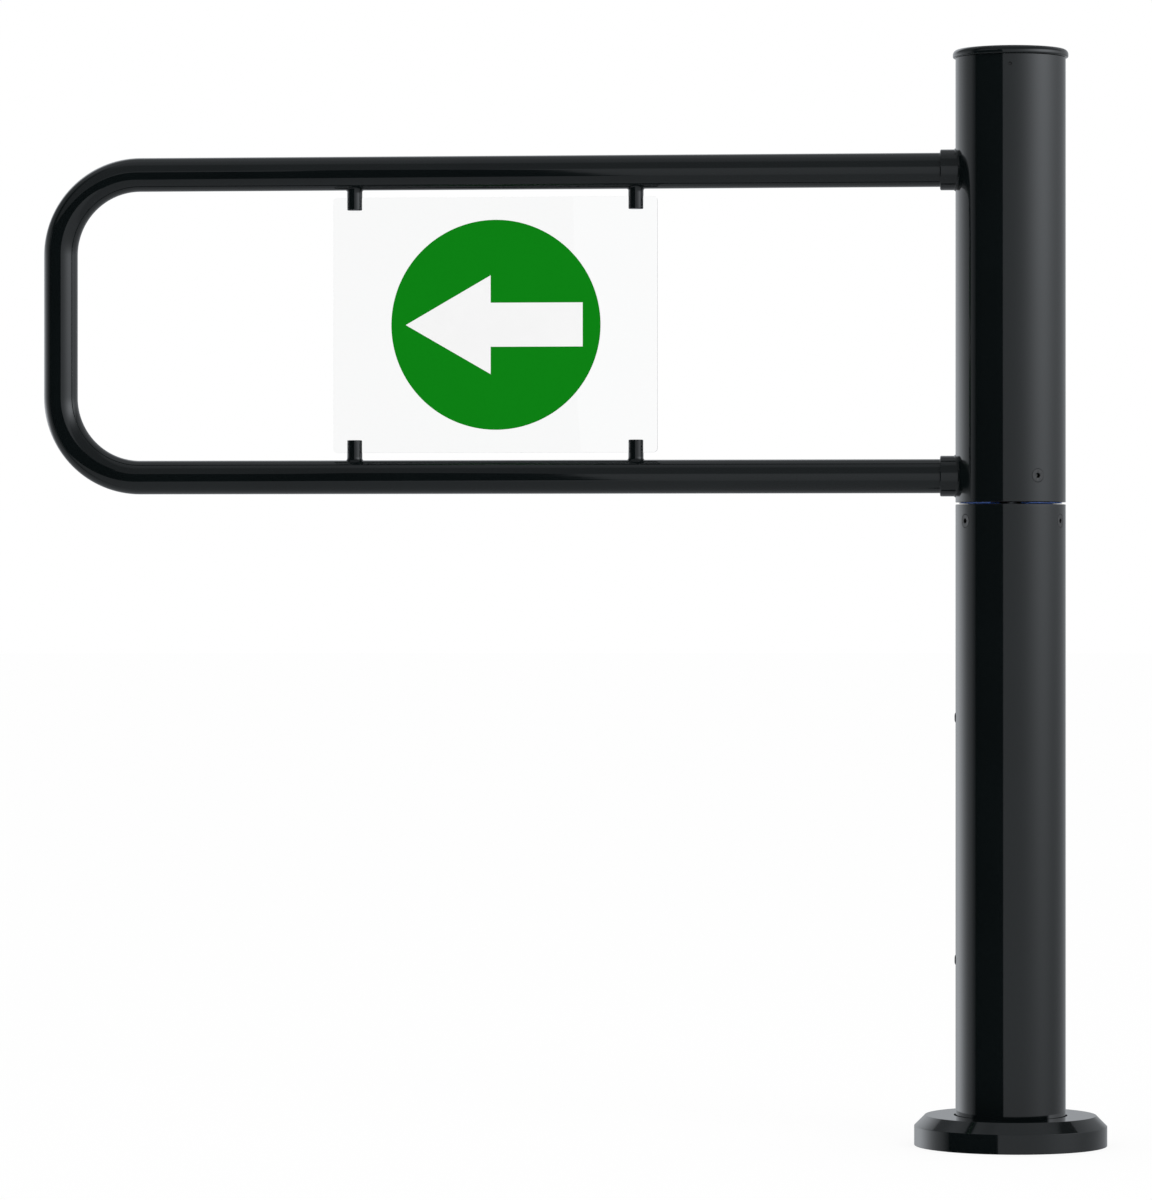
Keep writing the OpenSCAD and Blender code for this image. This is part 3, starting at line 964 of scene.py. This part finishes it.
class SWING_GATE_OT_sockets(Operator):
    """Makes the two sockets on the post and their weld beads"""

    bl_idname = "swing_gate.sockets"
    bl_label = "Sockets"

    def execute(self, context):
        shape = settings_of(context)
        post = POST_RADIUS + SEAT_GAP
        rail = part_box("leaf_tube")[1].y
        for name in ("upper", "lower"):
            node = f"socket_{name}"
            low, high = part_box(node)
            height = middle(node).z
            radius = (high.z - low.z) / 2
            bore = rail + 2 * SEAT_GAP
            seat = post * ROOT_SHARE
            bm = turned([
                (bore, seat), (radius, seat), (radius, -low.x, SOCKET_ROUND), (bore, -low.x, EDGE_ROUND),
            ], shape.rail_steps * 2, round_steps=6)
            for vert in bm.verts:
                if vert.co.z < seat + MERGE_DISTANCE:
                    vert.co.z = math.sqrt(post ** 2 - vert.co.y ** 2)
            moved(bm, along_leaf(height))
            finish_piece(bm, f"{node}_sleeve", "gate", "black_coating", node)

            bead = WELD_BEAD
            soft = bead * 0.7
            crown = bead * 0.4
            weld = turned([
                (radius - bead, post - bead), (radius + bead, post - bead, soft),
                (radius + crown, post + bead, soft), (radius - bead, post + bead),
            ], shape.rail_steps * 3)
            for vert in weld.verts:
                around = math.atan2(vert.co.x, vert.co.y)
                ripple = RIPPLE_SHARE * math.cos(around * WELD_RIPPLES) * (vert.co.xy.length > radius)
                vert.co.z += math.sqrt(post ** 2 - min(vert.co.y ** 2, post ** 2)) - post
                vert.co.xy *= 1 + ripple * bead / radius
            moved(weld, along_leaf(height))
            finish_piece(weld, f"{node}_weld", "gate", "black_coating")
        return {"FINISHED"}


class SWING_GATE_OT_pins(Operator):
    """Makes the four slotted pins that hold the sign panel"""

    bl_idname = "swing_gate.pins"
    bl_label = "Panel pins"

    def execute(self, context):
        shape = settings_of(context)
        rail_low, rail_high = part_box("leaf_tube")
        rail = rail_high.y + SEAT_GAP
        centre = (rail_low.z + rail_high.z) / 2
        rail_height = rail_high.z - rail_high.y - centre
        panel_low, panel_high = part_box("sign_panel")
        slot_width = panel_high.y - panel_low.y + 4 * SEAT_GAP
        slot_depth = (panel_high.z - panel_low.z) / 2 + 6 * SEAT_GAP
        fillet = PIN_FILLET
        for number in range(1, PINS + 1):
            node = f"panel_pin_{number}"
            low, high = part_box(node)
            upper = high.z > centre
            radius = (high.x - low.x) / 2
            tip = low.z - centre if upper else centre - high.z
            root = rail_height - rail
            inside = rail_height - rail * ROOT_SHARE
            bulge = fillet * 0.42
            flare = root - bulge
            pin = turned([
                (0, inside), (radius + fillet, inside), (radius + bulge, flare),
                (radius, root - fillet * 1.4), (radius, root - fillet * 3), (radius, tip, PIN_ROUND),
                (0, tip),
            ], shape.small_steps, closed=False)
            for vert in pin.verts:
                drop = rail - math.sqrt(rail ** 2 - vert.co.y ** 2)
                if vert.co.z > root:
                    vert.co.z = root + drop
                elif vert.co.z > flare - MERGE_DISTANCE:
                    vert.co.z += drop * FLARE_FOLLOWS
            bmesh.ops.recalc_face_normals(pin, faces=pin.faces[:])
            pin = cut_away(pin, block((4 * radius, slot_width, 2 * slot_depth)))
            turn_over = Matrix.Identity(4) if upper else Matrix.Rotation(math.pi, 4, "X")
            moved(pin, Matrix.Translation(((low.x + high.x) / 2, 0, centre)) @ turn_over)
            finish_piece(pin, f"slotted_pin_{number}", "gate", "black_coating", node)
        return {"FINISHED"}


# Sign

class SWING_GATE_OT_sign(Operator):
    """Makes the clear panel and its round films, and gives the arrows their white film"""

    bl_idname = "swing_gate.sign"
    bl_label = "Sign"

    def execute(self, context):
        shape = settings_of(context)
        low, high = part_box("sign_panel")
        panel = block(high - low)
        rounded(panel, edges_across(panel, 1, along=True), shape.panel_corner, 8)
        rounded(panel, edges_across(panel, 1), PANEL_EDGE, 5)
        moved(seal(panel), Matrix.Translation((low + high) / 2))
        finish_piece(panel, "polished_panel", "gate", "clear_acrylic", "sign_panel")

        for side in ("front", "back"):
            node = f"sign_disc_{side}"
            low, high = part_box(node)
            radius = (high.x - low.x) / 2
            near = (high.y - low.y) / 2
            disc = turned(
                [(0, near), (radius, near, near / 2), (radius, -near), (0, -near)],
                shape.round_steps, closed=False, round_steps=2)
            tip = Matrix.Rotation(QUARTER_TURN if side == "front" else -QUARTER_TURN, 4, "X")
            moved(disc, Matrix.Translation((low + high) / 2) @ tip)
            finish_piece(disc, f"round_film_{side}", "gate", "green_film", node)
            paint_node(f"arrow_{side}", "white_film")
        return {"FINISHED"}


# Studio

def unseen_by(item, *rays):
    """Hides an object from some kinds of rays."""
    for ray in rays:
        setattr(item, f"visible_{ray}", False)


def stage_mesh(bm, name, material, *hidden_rays):
    """A stage object, which isn't part of the gate and which some kinds of rays don't see."""
    item = object_from(bm, name, material)
    unseen_by(item, *hidden_rays)


def floor_material(studio):
    """A pale floor that shows as white and keeps a soft shadow of the gate."""
    shader = new_shader("pale_floor")
    speckle = shader.noise(shader.place(), 40.0, 2.0)
    paint = shader.diffuse(shader.tinted([0.98] * 3, speckle, 0.99))
    glow = shader.node("ShaderNodeEmission", None, {"Color": (1, 1, 1, 1), "Strength": 1.0})
    camera_ray = shader.node("ShaderNodeLightPath", output="Is Camera Ray")
    return shader.surface(shader.node("ShaderNodeMixShader", None, {
        0: camera_ray * (1 - studio.shadow_share), 1: paint, 2: glow}))


def card_material(name, level):
    """Felt of a card, at a grey level."""
    shader = new_shader(name)
    nap = shader.noise(shader.place(), 300.0, 2.0)
    return shader.surface(shader.diffuse(shader.tinted([level] * 3, nap, 0.6)))


def card(name, corners, material):
    """A card that only reflections show."""
    bm = bmesh.new()
    bm.faces.new([bm.verts.new(corner) for corner in corners])
    stage_mesh(bm, name, material, "camera", "diffuse", "shadow", "transmission", "volume_scatter")


def upright(start, end, outline):
    """Corners of an upright card on the line from start to end, from places along it and heights."""
    start = Vector(start)
    along = (Vector(end) - start).normalized()
    return [start + along * place + Vector((0, 0, height)) for place, height in outline]


def glow_towards(shader, direction, azimuth, elevation, width, height, level):
    """A soft glow of the room around a direction. Its angles and its spreads are in degrees."""
    azimuth, elevation = math.radians(azimuth), math.radians(elevation)
    side = Vector((math.cos(azimuth), math.sin(azimuth), 0))
    level_aim = Vector((math.sin(azimuth), -math.cos(azimuth), 0))
    aim = level_aim * math.cos(elevation) + Vector((0, 0, math.sin(elevation)))
    forward = shader.dot(direction, aim)
    aside = shader.dot(direction, side).turn_from(forward) / math.radians(width)
    above = shader.dot(direction, side.cross(aim)).turn_from(forward) / math.radians(height)
    return level * math.e ** (-0.5 * (aside * aside + above * above))


def room_world(world, studio):
    """Even light for the object, white for the eye, and a room with soft lights for reflections."""
    shader = Shader(world)
    direction = shader.node("ShaderNodeTexCoord", output="Generated")
    height = shader.axis(direction, "Z") * 0.5 + 0.5
    front = shader.node("ShaderNodeValToRGB", {"stops": [
        (0.0, 0.38), (0.22, 0.38), (0.29, 0.53), (0.45, 0.58), (0.63, 0.57), (0.67, 0.25), (0.93, 0.24),
        (0.965, 0.42), (1.0, 0.43)]}, {"Fac": height})
    back = shader.node("ShaderNodeValToRGB", {"stops": [
        (0.0, 0.38), (0.40, 0.43), (0.58, 0.45), (0.65, 0.27), (0.93, 0.25), (0.965, 0.42), (1.0, 0.43)]},
        {"Fac": height})
    depth = shader.axis(direction, "Y")
    walls = shader.mix(depth.ramp(-0.5, 0.2), front, back)
    walls = shader.node("ShaderNodeSeparateColor", None, {"Color": walls}, "Red")
    glow = functools.partial(glow_towards, shader, direction)
    pane_edge = math.radians(-135)
    beyond_edge = shader.dot(direction, (math.cos(pane_edge), math.sin(pane_edge), 0)).ramp(0.0, -0.03)
    pane = glow(-153, 25, 15, 13, 0.95) * beyond_edge
    walls = walls + glow(135, 35, 25, 25, 0.25) + pane + glow(-115.5, 54.5, 7, 7, 0.26)
    walls = walls - glow(-78, 0, 6.5, 40, 0.40)
    right_window = glow(70, 12, 23.5, 8, 2.6)
    left_window = glow(-128, -4, 17.3, 6.5, 1.40)
    paths = shader.tree.nodes.new("ShaderNodeLightPath")
    glossy = Value(shader, paths.outputs["Is Glossy Ray"])
    through = Value(shader, paths.outputs["Is Transmission Ray"])
    again = Value(shader, paths.outputs["Ray Depth"]).ramp(2.4, 2.6)
    kept = depth.ramp(-0.15, 0.05) * 1.35
    kept = 1 - again * (1 - kept - through * (0.8 - kept))
    through = through * (1 - Value(shader, paths.outputs["Glossy Depth"]).ramp(0.4, 0.6))
    seen = Value(shader, paths.outputs["Is Camera Ray"]).larger(through)
    level = (walls + right_window).larger(0) * kept + left_window
    room = shader.node("ShaderNodeVectorMath", {"operation": "SCALE"}, {0: (0.96, 1.0, 1.05), 3: level})
    even = opaque([studio.room_light] * 3)
    result = shader.mix(seen, shader.mix(glossy, even, room), (1, 1, 1, 1))
    background = shader.node("ShaderNodeBackground", None, {"Color": result, "Strength": 1.0})
    shader.node("ShaderNodeOutputWorld", None, {"Surface": background})


class SWING_GATE_OT_studio(Operator):
    """Makes the floor, the dark cards, the soft light and the camera"""

    bl_idname = "swing_gate.studio"
    bl_label = "Studio"

    def execute(self, context):
        scene = context.scene
        studio = scene.swing_gate.studio
        scene.view_settings.view_transform = "Standard"

        floor = bmesh.new()
        bmesh.ops.create_circle(
            floor, cap_ends=True, segments=96, radius=studio.floor_radius,
            matrix=Matrix.Translation((0, 0, -FLOOR_DROP)))
        stage_mesh(floor, "floor", floor_material(studio), "glossy", "transmission")

        outline = [
            (0.03, -0.36), (0.065, -0.05), (0.066, 0.50), (0.088, 0.76), (0.096, 1.10), (0.108, 1.26),
            (0.15, 1.42), (0.26, 1.56), (0.35, 1.62), (0.47, 1.62), (0.52, 1.37), (0.72, 1.35), (2.77, 1.50),
            (2.77, -0.45)]
        corners = upright((-0.51, -2.178, 0), (-2.784, -0.60, 0), outline)
        card("left_card", corners, card_material("black_felt", 0.004))
        card("high_card", [
            (0.94, 0.155, 1.695), (1.155, 0.735, 1.45), (1.32, 0.81, 1.39), (1.18, 0.23, 1.71)],
            card_material("grey_felt", 0.06))

        lamp = bpy.data.lights.new("soft_lamp", "AREA")
        lamp.shape = "RECTANGLE"
        lamp.size = 1.6
        lamp.size_y = 1.6
        lamp.energy = studio.lamp_power
        holder = linked("soft_lamp", lamp)
        holder.location = (1.9, -2.4, 2.3)
        aim = Vector((-0.2, 0, 0.5)) - holder.location
        holder.rotation_euler = aim.to_track_quat("-Z", "Y").to_euler()
        unseen_by(holder, "glossy", "camera")

        world = bpy.data.worlds.new("studio_room")
        scene.world = world
        room_world(world, studio)

        camera = bpy.data.cameras.new("studio_camera")
        camera.lens = studio.camera_lens
        camera.sensor_width = 36
        camera.shift_y = studio.camera_shift
        camera.clip_end = 200
        stand = linked("studio_camera", camera)
        stand.location = studio.camera_place
        stand.rotation_euler = (QUARTER_TURN, 0, studio.camera_turn)
        scene.camera = stand
        return {"FINISHED"}


# Sidebar

BUILDERS = (
    SWING_GATE_OT_post_tubes,
    SWING_GATE_OT_cap,
    SWING_GATE_OT_base,
    SWING_GATE_OT_screws,
    SWING_GATE_OT_pivot,
    SWING_GATE_OT_leaf,
    SWING_GATE_OT_sockets,
    SWING_GATE_OT_pins,
    SWING_GATE_OT_sign,
    SWING_GATE_OT_studio,
)


class SWING_GATE_PT_sidebar(Panel):
    """Lists the gate's builders and their settings"""

    bl_idname = "SWING_GATE_PT_sidebar"
    bl_label = "Swing gate turnstile"
    bl_space_type = "VIEW_3D"
    bl_region_type = "UI"
    bl_category = "Swing gate"

    def draw(self, context):
        for builder in BUILDERS:
            self.layout.operator(builder.bl_idname)
        gate = context.scene.swing_gate
        for title, group in (("Shape", gate.shape), ("Finish", gate.finish), ("Studio", gate.studio)):
            box = self.layout.box()
            box.label(text=title)
            for name in group.__annotations__:
                box.prop(group, name)


CLASSES = (GateShape, GateFinish, GateStudio, SwingGateSettings, *BUILDERS, SWING_GATE_PT_sidebar)


def register():
    """Registers the classes and the scene's settings."""
    for kind in CLASSES:
        bpy.utils.register_class(kind)
    bpy.types.Scene.swing_gate = PointerProperty(type=SwingGateSettings)


def unregister():
    """Takes the settings and the classes away again."""
    del bpy.types.Scene.swing_gate
    for kind in reversed(CLASSES):
        bpy.utils.unregister_class(kind)


def main():
    """Builds the gate and the studio."""
    register()
    bpy.ops.swing_gate.post_tubes()
    bpy.ops.swing_gate.cap()
    bpy.ops.swing_gate.base()
    bpy.ops.swing_gate.screws()
    bpy.ops.swing_gate.pivot()
    bpy.ops.swing_gate.leaf()
    bpy.ops.swing_gate.sockets()
    bpy.ops.swing_gate.pins()
    bpy.ops.swing_gate.sign()
    bpy.ops.swing_gate.studio()


if __name__ == "__main__":
    main()
